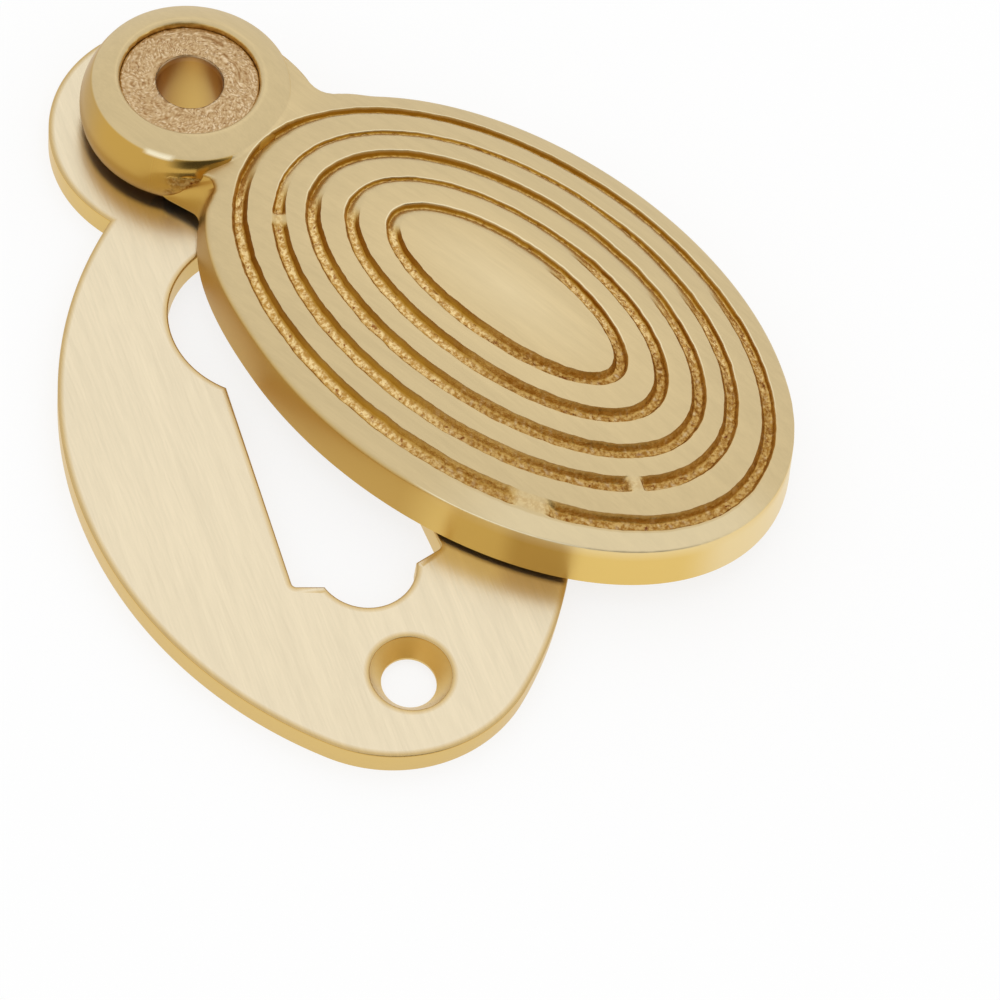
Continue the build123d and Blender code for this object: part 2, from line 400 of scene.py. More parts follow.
def ring_down(bm, edges, steps, centre):
    """Carries a round edge loop down through (radius, height) steps."""
    for radius, height in steps:
        made = bmesh.ops.extrude_edge_only(bm, edges=edges)["geom"]
        edges = [g for g in made if isinstance(g, bmesh.types.BMEdge)]
        for vert in (g for g in made if isinstance(g, bmesh.types.BMVert)):
            out = Vector((vert.co.x - centre.x, vert.co.y - centre.y, 0)).normalized()
            vert.co = centre + out * radius + UP * height


def boundary(bm):
    """The edges of open holes."""
    return [e for e in bm.edges if len(e.link_faces) == 1]


def near_circle(edge, centre, radius):
    """Whether an edge lies within a radius of a centre in plan."""
    return all((Vector((v.co.x, v.co.y, 0)) - centre).length < radius for v in edge.verts)


def inset_face(bm, level, inset, rise):
    """Insets the part of the face that lies at or above a level, and lifts it."""
    inner = [f for f in bm.faces if all(v.co.z > level - MERGE_DISTANCE for v in f.verts)]
    bmesh.ops.inset_region(
        bm, faces=inner, thickness=inset, depth=rise, use_boundary=True, use_even_offset=True
    )


def plate_mesh(s, rivet):
    """The plate: a face with softened edges, then the walls, the holes and the back."""
    bm = bmesh.new()
    layers = finish_layers(bm)
    wall_top = s.thickness - s.edge_round
    screw_centre = Vector((0, -s.screw_drop, 0))
    pivot = Vector((0, 0, 0))
    draw_plate_outline(bm, s, wall_top)
    draw_keyhole(bm, s, wall_top)
    sink_radius = s.countersink_radius - s.edge_round / 2
    for centre, radius in ((screw_centre, sink_radius), (pivot, rivet.shank_radius)):
        place = Matrix.Translation(centre + UP * wall_top)
        bmesh.ops.create_circle(bm, segments=HOLE_STEPS, radius=radius, matrix=place)
    bmesh.ops.remove_doubles(bm, verts=bm.verts, dist=MERGE_DISTANCE)
    bmesh.ops.triangle_fill(bm, edges=bm.edges, use_beauty=True, use_dissolve=False, normal=UP)
    arc = quarter(EDGE_RINGS)
    for (low_sin, low_cos), (high_sin, high_cos) in zip(arc, arc[1:]):
        inset = s.edge_round * (low_cos - high_cos)
        rise = s.edge_round * (high_sin - low_sin)
        inset_face(bm, wall_top + s.edge_round * low_sin, inset, rise)
    edge_verts = set(bm.verts)
    inset_face(bm, s.thickness, s.edge_fade, 0.0)
    for vert in bm.verts:
        vert[layers["satin"]] = 1.0 if vert.co.z > s.thickness - s.edge_round / 2 else 0.0
        vert[layers["brown"]] = 1.0 if vert in edge_verts else 0.0
    open_edges = boundary(bm)
    screw_edges = [e for e in open_edges if near_circle(e, screw_centre, s.countersink_radius + HOLE_MARGIN)]
    pivot_edges = [e for e in open_edges if near_circle(e, pivot, rivet.shank_radius + HOLE_MARGIN)]
    wall_edges = [e for e in open_edges if e not in screw_edges and e not in pivot_edges]
    ring_down(bm, screw_edges, (
        (s.screw_radius, s.screw_land_top),
        (s.screw_radius, s.screw_land_bottom),
        (s.screw_radius + s.screw_land_bottom, 0),
    ), screw_centre)
    ring_down(bm, pivot_edges, (
        (rivet.shank_radius, rivet.peen),
        (rivet.shank_radius + rivet.peen, 0),
    ), pivot)
    made = bmesh.ops.extrude_edge_only(bm, edges=wall_edges)["geom"]
    for vert in (g for g in made if isinstance(g, bmesh.types.BMVert)):
        vert.co.z = 0
    bmesh.ops.triangle_fill(bm, edges=boundary(bm), use_beauty=True, use_dissolve=False, normal=-UP)
    for vert in bm.verts:
        if vert.co.z < wall_top + MERGE_DISTANCE:
            vert[layers["brown"]] = 0.0
    close_mesh(bm)
    return bm


# Hollow rivet

RIVET_STEPS = 280
HEAD_RINGS = 26
BORE_RINGS = 12
ROUND_RINGS = 5
COLLAR_GAP = 0.05 * MM
MARK_SWIRL = 2.2 * MM
MARK_LENGTH = 0.5 * MM
MARK_WIDTH = 0.17 * MM
MARK_HEIGHT = 0.03 * MM
LUMP_SIZE = 0.6 * MM
LUMP_HEIGHT = 0.025 * MM
HEAD_DENT = 0.05 * MM
# The tool marks' real relief gets painted shade in its furrows and painted highlight on its ridges
MARK_SHADE = 1.6
MARK_HIGHLIGHT = 2.2
HIGHLIGHT_START = 0.35
MOST_MARKED = 0.7
LIP_SHARE = 0.4
# Painted highlight on the bore's lip
BORE_LIP_HIGHLIGHT = 0.8


def tool_marks(place):
    """Short marks whose direction wanders over the head, from about -1 to 1."""
    angle = math.pi * lumps(place, MARK_SWIRL)
    along = place.x * math.cos(angle) + place.y * math.sin(angle)
    across = place.y * math.cos(angle) - place.x * math.sin(angle)
    return noise.noise(Vector((along / MARK_LENGTH, across / MARK_WIDTH, 0)))


def rivet_mesh(s, plate, cover):
    """The rivet, with a head left uneven by the spinning."""
    bm = bmesh.new()
    layers = finish_layers(bm)
    collar_top = cover.bottom - COLLAR_GAP
    head_top = RIVET_BOX[1].z - s.head_sink
    head_bottom = head_top - s.head_thickness
    profile = [
        (s.bore_radius, 0),
        (s.shank_radius + s.peen, 0),
        (s.shank_radius, s.peen),
        (s.shank_radius, plate.thickness),
        (s.collar_radius, plate.thickness),
        (s.collar_radius, collar_top),
        (s.shank_radius, collar_top),
        (s.shank_radius, head_bottom),
        (s.head_radius, head_bottom),
    ]
    arc = quarter(ROUND_RINGS)
    rim = s.head_radius - s.head_round
    lip = s.bore_radius + s.lip_round
    profile += [(rim + s.head_round * cos, head_top - s.head_round * (1 - sin)) for sin, cos in arc]
    profile += [(rim + (lip - rim) * i / HEAD_RINGS, head_top) for i in range(1, HEAD_RINGS)]
    profile += [(lip - s.lip_round * cos, head_top - s.lip_round * (1 - sin)) for sin, cos in reversed(arc)]
    wall_top = head_top - s.lip_round
    profile += [(s.bore_radius, wall_top * (1 - i / BORE_RINGS)) for i in range(1, BORE_RINGS)]
    turned(bm, profile + [(s.bore_radius, 0)], RIVET_STEPS)
    close_mesh(bm)
    for vert in bm.verts:
        out = Vector((vert.co.x, vert.co.y, 0))
        if vert.co.z < wall_top - MERGE_DISTANCE:
            if out.length < s.bore_radius + MERGE_DISTANCE:
                # Painted shade on the bore's sides, away from the bright bearing
                vert[layers["brown"]] = math.sin(math.atan2(out.y, out.x) - s.bore_highlight_bearing) ** 2
            continue
        marks = tool_marks(out)
        vert.co.z -= HEAD_DENT + LUMP_HEIGHT * lumps(vert.co, LUMP_SIZE) - MARK_HEIGHT * marks
        if out.length < s.bore_radius + LIP_SHARE * s.lip_round:
            # Painted highlight: a pale ring on the bore's polished lip
            set_finish(vert, layers, (0.0, 0.0, 0.0, BORE_LIP_HIGHLIGHT))
        else:
            # Painted shade in the furrows and painted highlight on the ridges of the tool marks
            brown = clamp(-MARK_SHADE * marks, MOST_MARKED)
            worn = clamp(MARK_HIGHLIGHT * marks - HIGHLIGHT_START, MOST_MARKED)
            set_finish(vert, layers, (0.0, 1.0, brown, worn))
    return bm


# Swing cover

COVER_STEPS = 620
GRID_MERGE = 1e-4
BOSS_STEPS = 200
CROWN_RINGS = 8
LAND_RINGS = 2
BAND_RINGS = 12
RIM_RINGS = 6
WALL_RINGS = 4
CEILING_RINGS = 9
FLANK_RINGS = 16
FACE_RINGS = 8
RECESS_RINGS = 5

BOSS_OVERLAP = 1.2 * MM
FLANK_MARGIN = 0.15 * MM
SKIRT_SINK = 0.03 * MM
LEAST_RUN_OUT = 0.02
HOLLOW_REACH = 0.9 * MM
OUTLINE_STEP = 0.04 * MM
NOTCH_LIMIT = 1.2 * MM

# Stretches of the boss, by the bearing from the pivot: from, to and softness of the ends, in degrees
BOSS_RUNS_OUT = (262, 350, 22)
# Painted highlight along the shoulder's edge
BOSS_HIGHLIGHT = (197, 208, 5)
BOSS_SATIN = (30, 145, 25)
BOSS_ROUGH = (214, 232, 9)
BOSS_GLOSSY = (208, 245, 12)

# Stretches of the oval, counted from its right side against the clock, in the same way
FULL_LEFT = (118, 122)
FULL_LEFT_NEAR = 8
FULL_LEFT_FAR = 32
FULL_RIGHT = (62, 68, 8)
NECK = (70, 110, 20)
ROUGH_END = (200, 295, 25)
BRUSHED_INNER = (-3, 100, 16)
BRUSHED_OUTER = (-25, 100, 16)
# Painted highlight on the grooves' outer lips
HIGHLIGHTED_LIPS = (-50, 100, 20)
CRISP_RIM = (200, 300, 14)
RUBBED_RIM = (120, 175, 25)
# Painted highlight along the rim's lower edge
PAINTED_ARRIS_HIGHLIGHT = (197, 222, 8)
# Painted light on the outer band
PAINTED_BAND_LIGHT = (212, 258, 22)
# Painted light on the side wall, for its bright reflection
PAINTED_WALL_LIGHT = (258, 300, 14)

# How far painted shade darkens the side wall on a stretch of the oval, standing in for its dark reflection
PAINTED_WALL_SHADE = ((0.6, 100, 188, 12), (0.5, 212, 219, 5))

# Where the casting ran together: number of the groove, share of its depth that is lost, and the stretch
CLOSED_GROOVES = (
    (3, 0.8, 117.5, 119.5, 2.2),
    (3, 1.0, 238.5, 241.5, 1.5),
    (4, 0.95, 210, 214.5, 3.5),
)

# Where a groove is not as usual: its number, what its width and depth gain or lose, and the stretch
UNEVEN_GROOVES = (
    (1, -0.3, -0.38, 5, 85, 20),
    (2, 0.0, 0.3, 20, 110, 20),
    (3, -0.3, -0.42, 5, 105, 20),
    (4, -0.15, 0.0, 10, 70, 15),
    (4, 0.0, 0.3, 10, 125, 20),
)


def turn_gap(degrees, middle):
    """The angle between two bearings, from 0 to 180 degrees."""
    return abs((degrees - middle + 180) % 360 - 180)


def plateau(degrees, start, end, soft):
    """One between two bearings, fading to none over soft degrees outside them."""
    off = turn_gap(degrees, (start + end) / 2) - (end - start) / 2
    part = clamp(1 - off / soft)
    return part * part * (3 - 2 * part)


def degrees_round(y, x):
    """The bearing of a point in plan, from 0 to 360 degrees."""
    return math.degrees(math.atan2(y, x)) % 360


class CoverShape:
    """Heights and outlines of the cover in plan, about its own centre and in metres."""

    def __init__(self, s):
        self.s = s
        self.half_width = s.width / 2
        self.half_length = s.length / 2
        self.stretch = s.length / s.width
        self.top_width = self.half_width - s.draft
        self.dome_radius = (self.top_width**2 + s.dome_rise**2) / (2 * s.dome_rise)
        self.boss_top = s.bottom + s.boss_height
        self.slope = math.tan(s.boss_slope)
        self.hidden_radius = s.boss_radius - BOSS_OVERLAP
        self.known_outlines = {}

    def dome(self, x, y):
        """Height of the smooth dome."""
        out = math.hypot(x, y / self.stretch)
        return self.s.top - self.dome_radius + math.sqrt(self.dome_radius**2 - out**2)

    def boss_side(self, x, y):
        """Height of the boss's sloping top, carried on past its shoulder as a skirt."""
        out = math.hypot(x - self.s.boss_lean, y - self.s.drop)
        shoulder = self.s.shoulder_radius
        height = self.boss_top - SKIRT_SINK - self.slope * (min(out, shoulder) - self.s.recess_radius)
        fall = math.tan(self.s.skirt) / max(self.run_out(x, y), LEAST_RUN_OUT)
        return height - fall * max(out - shoulder, 0)

    def run_out(self, x, y):
        """How far the boss runs out softly: fully towards the oval, not at all in the notch on the left."""
        return plateau(degrees_round(y - self.s.drop, x), *BOSS_RUNS_OUT)

    def land(self, x, y):
        """Height of the land, which runs up into the boss in a soft hollow."""
        dome = self.dome(x, y)
        boss = self.boss_side(x, y)
        near = max(HOLLOW_REACH - abs(dome - boss), 0) / HOLLOW_REACH
        past_boss = (math.hypot(x, y - self.s.drop) - self.hidden_radius) / MM
        hollow = near * near * HOLLOW_REACH / 4 * clamp(past_boss)
        return max(dome, boss) + hollow * self.run_out(x, y)

    def outline(self, angle, inset):
        """The cover's outline in plan at an angle of its oval, rounded into the boss at the neck."""
        key = (angle, inset)
        if key not in self.known_outlines:
            self.known_outlines[key] = self.find_outline(angle, inset)
        return self.known_outlines[key]

    def neck_gap(self, from_boss, inset):
        """Distance in plan from the boss or the straight web beside it, on the left only at the foot."""
        flank = self.s.boss_foot if inset == 0 else self.s.shoulder_radius + FLANK_MARGIN
        gap = from_boss.length - flank
        if from_boss.x > 0 or inset == 0:
            side = 1 if from_boss.x > 0 else -1
            half_web = flank if side > 0 else flank - self.s.web_step
            facing = Vector((side * math.cos(self.s.web_lean), -math.sin(self.s.web_lean), 0))
            gap = min(gap, (from_boss - Vector((side * half_web, -self.s.web_drop, 0))).dot(facing))
        return gap

    def find_outline(self, angle, inset):
        """Steps out from the oval until the smooth blend of oval and boss is reached."""
        wide = self.half_width - inset
        long = self.half_length - inset * self.stretch
        point = Vector((wide * math.cos(angle), long * math.sin(angle), 0))
        out = Vector((math.cos(angle) / wide, math.sin(angle) / long, 0)).normalized()
        degrees = math.degrees(angle)
        soft = FULL_LEFT_NEAR if degrees < FULL_LEFT[1] else FULL_LEFT_FAR
        point += out * self.s.fullness_left * plateau(degrees, *FULL_LEFT, soft)
        point += out * self.s.fullness_right * plateau(degrees, *FULL_RIGHT)
        boss = Vector((0, self.s.drop, 0))
        notched = point.x < 0 and inset > 0
        reach = self.s.neck_left if notched else self.s.neck_right
        limit = NOTCH_LIMIT if notched else self.s.drop
        moved = 0.0
        while moved < limit and (point - boss).length > self.hidden_radius and (point - boss).dot(out) < 0:
            gap = self.neck_gap(point - boss, inset)
            near = max(reach - abs(moved - gap), 0) / reach
            if min(moved, gap) - near * near * reach / 4 >= 0:
                break
            point = point + out * OUTLINE_STEP
            moved += OUTLINE_STEP
        return point


def groove_open(number, degrees):
    """The share of a groove's depth that is left where the casting ran together."""
    closed = 0.0
    for groove, lost, *stretch in CLOSED_GROOVES:
        if groove == number:
            closed = max(closed, lost * plateau(degrees, *stretch))
    return 1 - closed


def groove_size(number, degrees):
    """Width and depth of a groove against the usual ones."""
    width = 1.0
    depth = 1.0
    for groove, wider, deeper, *stretch in UNEVEN_GROOVES:
        if groove == number:
            part = plateau(degrees, *stretch)
            width += wider * part
            depth += deeper * part
    return width, depth


# A groove across its width, from its inner edge at -1 to its outer edge at 1: place, share of
# the depth, rough cast share, share of a darkening tint that is part tarnish and part painted shade, and
# share of a painted lip highlight
GROOVE_SECTION = (
    (-1.2, 0.0, 0.0, 0.0, 0.0),
    (-1.0, 0.0, 0.0, 0.0, 0.0),
    (-0.97, 0.12, 0.0, 0.8, 0.0),
    (-0.78, 0.48, 0.0, 0.95, 0.0),
    (-0.56, 0.8, 0.0, 1.0, 0.0),
    (-0.42, 0.96, 0.5, 0.8, 0.0),
    (-0.22, 1.02, 1.0, 0.1, 0.0),
    (0.05, 1.03, 1.0, 0.0, 0.0),
    (0.3, 1.02, 1.0, 0.05, 0.0),
    (0.5, 0.97, 0.8, 0.35, 0.0),
    (0.68, 0.8, 0.2, 1.0, 0.0),
    (0.82, 0.45, 0.0, 1.0, 0.0),
    (0.94, 0.12, 0.0, 0.8, 0.3),
    (1.02, 0.02, 0.0, 0.1, 1.0),
    (1.2, 0.0, 0.0, 0.0, 0.0),
)

# How far a groove's section reaches, and where its outer wall starts
SECTION_EDGE = 1.2
OUTER_WALL = 0.4

# How far grooves are brushed, rough or closed, and how much painted highlight their lips and glints get:
# shares, and gains that work on a share of the depth
BRUSHED_DEPTH = 0.9
BRUSHED_CLEAN = 0.9
BELOW_GAIN = 2
BARE_GAIN = 5
ROUGH_CAST = 0.5
ROUGH_BROWN = 0.7
ROUGH_PALER = 0.35
ROUGH_DEEPER = 0.25
GROOVE_LIP_HIGHLIGHT = 0.8
GLINT_START = 0.25
GLINT_GAIN = 3
GLINT_BRIGHT = 0.3
UNEVEN_DEPTH = 0.15
CLOSED_GRAIN = 0.15
CLOSED_CAST = 0.25

# Steps through the noise, so that each groove and wall is uneven in its own way
GROOVE_APART = 7.0 * MM
WALLS_APART = 3.0 * MM

# Sizes and heights of the unevenness
LONG_WOBBLE = 1.1 * MM
LONG_WOBBLE_HEIGHT = 0.05 * MM
SHORT_WOBBLE = 0.4 * MM
SHORT_WOBBLE_HEIGHT = 0.03 * MM
COARSE_GRAIN = 0.45 * MM
FINE_GRAIN = 0.22 * MM
GRAIN_HEIGHT = 0.06 * MM
GLINT_SIZE = 0.28 * MM
SLOW_CHANGE = 3.0 * MM

# The rim, the side wall and the hollow
RAGGED_WAVES = 40
RAGGED_SHARE = 0.2
CRISP_SHARE = 0.55
RUBBED_SHARE = 0.45
ROUNDING_FLAT = 0.75
SATIN_FADE = 6
# Painted highlight on the rim's rounding between these sines
ARRIS_HIGHLIGHT_RINGS = (0.6, 0.8)
# Painted shade on the rim's rounding, as a gain on that of the wall
ROUNDING_SHADE = 1.4
# Painted light on the outer band
BAND_LIGHT = 0.3
# Painted light on the side wall, for its bright reflection
WALL_LIGHT = 0.4
LAND_GAP = 0.2 * MM
LIP_GAP = 0.1 * MM
WALL_EDGE = 0.12 * MM
FOOT_IN = 0.006
HOLLOW_HEIGHTS = (0.0, 0.35, 0.7, 0.9)
HOLLOW_LEAN = 0.012
CEILING_SHARE = 0.96

# Finishes, in the order of the layers
SATIN = (1.0, 0.0, 0.0)
# Painted highlight on the crown
CROWN_HIGHLIGHT = 0.18
FOOT_FINISH = (0.4, 0.0, 0.3)
HOLLOW_SATIN = 0.3
HOLLOW_CAST = 0.6
HOLLOW_BROWN = 0.15


def wall_painted_shade(degrees):
    """How far painted shade darkens the side wall: most along the left, and once at the lower end."""
    return max(share * plateau(degrees, *stretch) for share, *stretch in PAINTED_WALL_SHADE)


def hollow_finish(height):
    """The finish inside the hollow, rougher towards its ceiling."""
    return HOLLOW_SATIN, HOLLOW_CAST * height, HOLLOW_BROWN


class CoverRings:
    """The cover's surface as rings, from the crown out over the rim and in again underneath.

    Each ring is a function that takes an angle and gives a point and its finish, in the order of the layers.
    """

    def __init__(self, s):
        self.s = s
        self.shape = CoverShape(s)
        self.rings = []

    def groove_axes(self, number):
        """Half the width and half the length of a groove's middle line."""
        return (self.s.first_groove + number * self.s.groove_step) / 2, GROOVE_LENGTHS[number] / 2

    def add_land(self, from_axes, to_axes, count):
        """Plain rings between two ovals, the innermost ones lightened a little by painted highlight."""
        for i in range(1, count + 1):
            part = i / count

            def ring(angle, part=part):
                wide = from_axes[0] + (to_axes[0] - from_axes[0]) * part
                long = from_axes[1] + (to_axes[1] - from_axes[1]) * part
                x = wide * math.cos(angle)
                y = long * math.sin(angle)
                pale = CROWN_HIGHLIGHT * (1 - part) if from_axes[0] == 0 else 0.0
                return Vector((x, y, self.shape.land(x, y))), (*SATIN, pale)

            self.rings.append(ring)

    def groove_point(self, number, section, angle):
        """A point of a groove's section at an angle of its oval."""
        s = self.s
        across, deep, cast, brown, lip = section
        degrees = math.degrees(angle) % 360
        below = min(BELOW_GAIN * deep, 1.0)
        rough_end = plateau(degrees, *ROUGH_END)
        cast = max(cast, ROUGH_CAST * rough_end * below)
        brown = max(brown * (1 - ROUGH_PALER * rough_end), ROUGH_BROWN * rough_end * below)
        brush_stretch = BRUSHED_INNER if number < 2 else BRUSHED_OUTER
        brushed = plateau(degrees, *brush_stretch) if across < OUTER_WALL else 0.0
        along_slope = (across + SECTION_EDGE) / (OUTER_WALL + SECTION_EDGE)
        deep += (BRUSHED_DEPTH * along_slope**2 - deep) * brushed
        cast *= 1 - BRUSHED_CLEAN * brushed
        brown *= 1 - brushed
        # Painted highlight along the grooves' outer lips
        worn = GROOVE_LIP_HIGHLIGHT * lip * plateau(degrees, *HIGHLIGHTED_LIPS)
        wide, long = self.groove_axes(number)
        level = number * GROOVE_APART
        side = level + (WALLS_APART if across > 0 else 0)
        on_line = Vector((wide * math.cos(angle), long * math.sin(angle), side))
        wobble = LONG_WOBBLE_HEIGHT * lumps(on_line, LONG_WOBBLE)
        wobble += SHORT_WOBBLE_HEIGHT * lumps(on_line, SHORT_WOBBLE)
        width_share, depth_share = groove_size(number, degrees)
        open_share = groove_open(number, degrees)
        offset = across * s.groove_cut / 2 * width_share + wobble
        x = (wide + offset) * math.cos(angle)
        y = (long + offset) * math.sin(angle)
        here = Vector((x, y, level))
        grain = GRAIN_HEIGHT * (lumps(here, COARSE_GRAIN) + lumps(here, FINE_GRAIN))
        # Painted highlight: pale glints speckle the rough grooves at the lower end
        glint = clamp(GLINT_GAIN * (lumps(here, GLINT_SIZE) - GLINT_START))
        worn = max(worn, GLINT_BRIGHT * glint * rough_end * below)
        uneven = 1 + UNEVEN_DEPTH * lumps(Vector((on_line.x, on_line.y, level)), SLOW_CHANGE)
        depth = s.groove_depth * deep * depth_share * (1 + ROUGH_DEEPER * rough_end) * uneven * open_share
        depth += grain * cast * (CLOSED_GRAIN + (1 - CLOSED_GRAIN) * open_share)
        land = self.shape.land(x, y)
        if number == len(GROOVE_LENGTHS) - 1:
            land += (self.shape.dome(x, y) - land) * min(deep, 1.0)
        satin = 1 - min(deep * BARE_GAIN, 1.0) * open_share * (1 - brushed)
        cast *= CLOSED_CAST + (1 - CLOSED_CAST) * open_share
        return Vector((x, y, land - max(depth, 0.0))), (satin, cast, brown * open_share, worn * open_share)

    def add_groove(self, number):
        """A groove's smooth walls and rough floor."""
        for section in GROOVE_SECTION:
            def ring(angle, section=section):
                return self.groove_point(number, section, angle)

            self.rings.append(ring)

    def rim_round(self, angle):
        """The rim is rubbed round on the left side and left crisp and ragged at the lower end."""
        degrees = math.degrees(angle) % 360
        crisp = plateau(degrees, *CRISP_RIM)
        ragged = noise.noise(Vector((math.cos(angle), math.sin(angle), 0)) * RAGGED_WAVES)
        rubbed = 1 + RUBBED_SHARE * plateau(degrees, *RUBBED_RIM)
        return self.s.rim_round * (rubbed - (CRISP_SHARE + RAGGED_SHARE * ragged) * crisp)

    def add_outer_band(self, count):
        """The land from the last groove out to the rounded rim, with the flare of the neck."""
        s = self.s
        edge = self.rings[-1]

        def ring_at(part, inset, drop, satin, arris_highlight):
            def ring(angle):
                degrees = math.degrees(angle) % 360
                inner = edge(angle)[0]
                outer = self.shape.outline(angle, s.draft)
                rounding = self.rim_round(angle)
                reach = math.hypot(outer.x - inner.x, outer.y - inner.y)
                share = part * (1 - rounding * inset / reach)
                x = inner.x + (outer.x - inner.x) * share
                y = inner.y + (outer.y - inner.y) * share
                # Painted light: a highlight on the rim's edge and a paler lower stretch of the outer band
                worn = max(arris_highlight * plateau(degrees, *PAINTED_ARRIS_HIGHLIGHT), BAND_LIGHT * plateau(degrees, *PAINTED_BAND_LIGHT))
                # Painted shade: the rim's rounding darkens with the wall below it
                brown = min(ROUNDING_SHADE * (1 - satin), 1.0) * wall_painted_shade(degrees)
                return Vector((x, y, self.shape.land(x, y) - rounding * drop)), (satin, 0.0, brown, worn)
            return ring

        for i in range(1, count + 1):
            self.rings.append(ring_at(i / count, 1.0, 0.0, 1.0, 0.0))
        for sin, cos in quarter(RIM_RINGS)[1:]:
            # Painted highlight on one ring of the rim's rounding
            arris_highlight = 1.0 if ARRIS_HIGHLIGHT_RINGS[0] < sin < ARRIS_HIGHLIGHT_RINGS[1] else 0.0
            self.rings.append(ring_at(1.0, 1 - sin, (1 - cos) * ROUNDING_FLAT, 1 - sin**SATIN_FADE, arris_highlight))

    def rim_foot(self, degrees):
        """Height of the rim's underside, which hangs lower than the boss."""
        return self.s.bottom - self.s.rim_drop * (1 - plateau(degrees, *NECK))

    def add_wall(self, count):
        """The leaning side wall down to the flat rim underneath."""
        wall_top = self.rings[-1]

        def ring_at(part):
            def ring(angle):
                top = wall_top(angle)[0]
                foot = self.shape.outline(angle, 0.0)
                x = top.x + (foot.x - top.x) * part
                y = top.y + (foot.y - top.y) * part
                degrees = math.degrees(angle) % 360
                low = self.rim_foot(degrees) + WALL_EDGE
                # Painted light: a pale stretch of the wall, for its bright reflection
                worn = WALL_LIGHT * plateau(degrees, *PAINTED_WALL_LIGHT)
                # Painted shade darkens the wall, standing in for its dark reflection
                return Vector((x, y, top.z + (low - top.z) * part)), (0.0, 0.0, wall_painted_shade(degrees), worn)
            return ring

        for i in range(1, count + 1):
            self.rings.append(ring_at(i / count))

        def foot_ring(angle):
            foot = self.shape.outline(angle, 0.0) * (1 - FOOT_IN)
            return Vector((foot.x, foot.y, self.rim_foot(math.degrees(angle) % 360))), FOOT_FINISH

        self.rings.append(foot_ring)

    def add_hollow(self, count):
        """The flat rim, the hollow's wall and its ceiling."""
        s = self.s
        wide = self.shape.half_width - s.wall
        long = self.shape.half_length - s.wall

        def ring_at(part, height):
            def ring(angle):
                x = wide * part * math.cos(angle)
                y = long * part * math.sin(angle)
                ceiling = self.shape.dome(x, y) - s.wall
                foot = self.rim_foot(math.degrees(angle) % 360)
                return Vector((x, y, foot + (ceiling - foot) * height)), hollow_finish(height)
            return ring

        for height in HOLLOW_HEIGHTS:
            self.rings.append(ring_at(1.0 - HOLLOW_LEAN * height, height))
        for i in range(count):
            self.rings.append(ring_at(CEILING_SHARE * (1 - i / count), 1.0))


def cover_oval(bm, s, layers):
    """The oval body: a spun grid whose rings are then laid on the cover's surface."""
    grid = CoverRings(s)
    inner = (0.0, 0.0)
    edge = SECTION_EDGE * s.groove_cut / 2
    for number in range(len(GROOVE_LENGTHS)):
        wide, long = grid.groove_axes(number)
        outer = (wide - edge - LAND_GAP, long - edge - LAND_GAP)
        grid.add_land(inner, outer, LAND_RINGS if number else CROWN_RINGS)
        grid.add_groove(number)
        inner = (wide + edge + LIP_GAP, long + edge + LIP_GAP)
    grid.add_outer_band(BAND_RINGS)
    grid.add_wall(WALL_RINGS)
    grid.add_hollow(CEILING_RINGS)
    rings = grid.rings
    profile = [(0.0, 0.0)] + [(1.0, float(i + 1)) for i in range(len(rings))] + [(0.0, float(len(rings) + 1))]
    turned(bm, profile, COVER_STEPS)
    bmesh.ops.remove_doubles(bm, verts=bm.verts, dist=GRID_MERGE)
    crown = Vector((0, 0, s.top)), (*SATIN, CROWN_HIGHLIGHT)
    ceiling = Vector((0, 0, s.top - s.wall)), hollow_finish(1.0)
    for vert in bm.verts:
        number = round(vert.co.z)
        if number == 0:
            vert.co, finish = crown
        elif number == len(rings) + 1:
            vert.co, finish = ceiling
        else:
            angle = round(math.atan2(vert.co.y, vert.co.x), 6)
            vert.co, finish = rings[number - 1](angle)
        set_finish(vert, layers, finish)
        vert.co.y -= s.drop


# The boss
FLANK_BULGE = 0.44 * MM
BULGE_HEIGHT = 0.45
SHOULDER_EDGE = 0.06 * MM
SHOULDER_LEAN = 0.6
FACE_CROWN = 0.05 * MM
RECESS_MARGIN = 0.03 * MM
SHOULDER_MARGIN = 0.08 * MM
ROUGH_HEIGHT = 0.65
ROUGH_SIZE = 0.7 * MM
ROUGH_START = 0.7
ROUGH_GAIN = 2
PIT_SIZE = 0.6 * MM
PIT_DEPTH = 0.2 * MM
RECESS_FINISH = (0.0, 0.3, 0.3)
FLANK_SATIN = 0.5
FLANK_BROWN = 0.6


